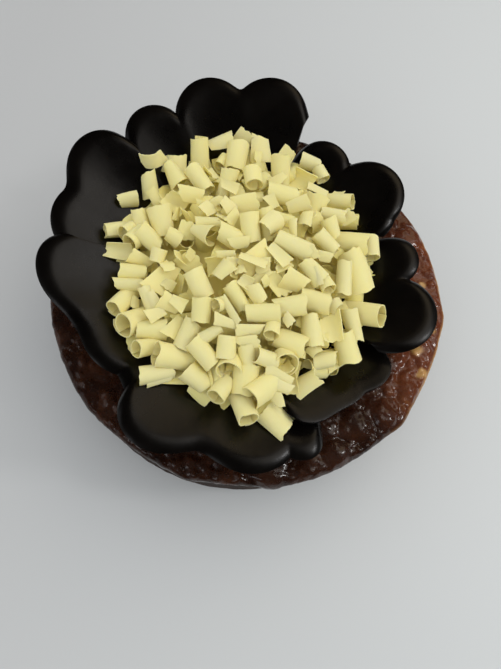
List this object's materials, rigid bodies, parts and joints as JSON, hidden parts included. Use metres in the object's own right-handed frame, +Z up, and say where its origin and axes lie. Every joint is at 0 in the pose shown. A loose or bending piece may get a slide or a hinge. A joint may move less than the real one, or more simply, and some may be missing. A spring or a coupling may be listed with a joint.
{
  "type": "brownie cake",
  "caption": "Round brownie cake with a nut glaze, a flower of dark chocolate petals round its top and a heap of white chocolate curls.",
  "frame": {"origin": "centre of the cake's flat underside", "axes": "+Z up along the cake's axis, -Y towards the viewer of the picture"},
  "size_m": [0.1627, 0.1607, 0.0816],
  "materials": {
    "brownie": "dense baked chocolate crumb, matt",
    "glaze": "glossy caramel and chocolate glaze with chopped nuts",
    "dark_chocolate": "moulded dark chocolate, satin",
    "white_chocolate": "shaved white chocolate, soft satin"
  },
  "bodies": {
    "root": {"brownie_base": "brownie", "nut_glaze": "glaze", "petal_back": "dark_chocolate", "petal_left_upper": "dark_chocolate", "petal_left_lower": "dark_chocolate", "petal_front": "dark_chocolate", "petal_front_right": "dark_chocolate", "petal_right_lower": "dark_chocolate", "petal_right_upper": "dark_chocolate", "curl_heap": "white_chocolate"}
  },
  "joints": []
}
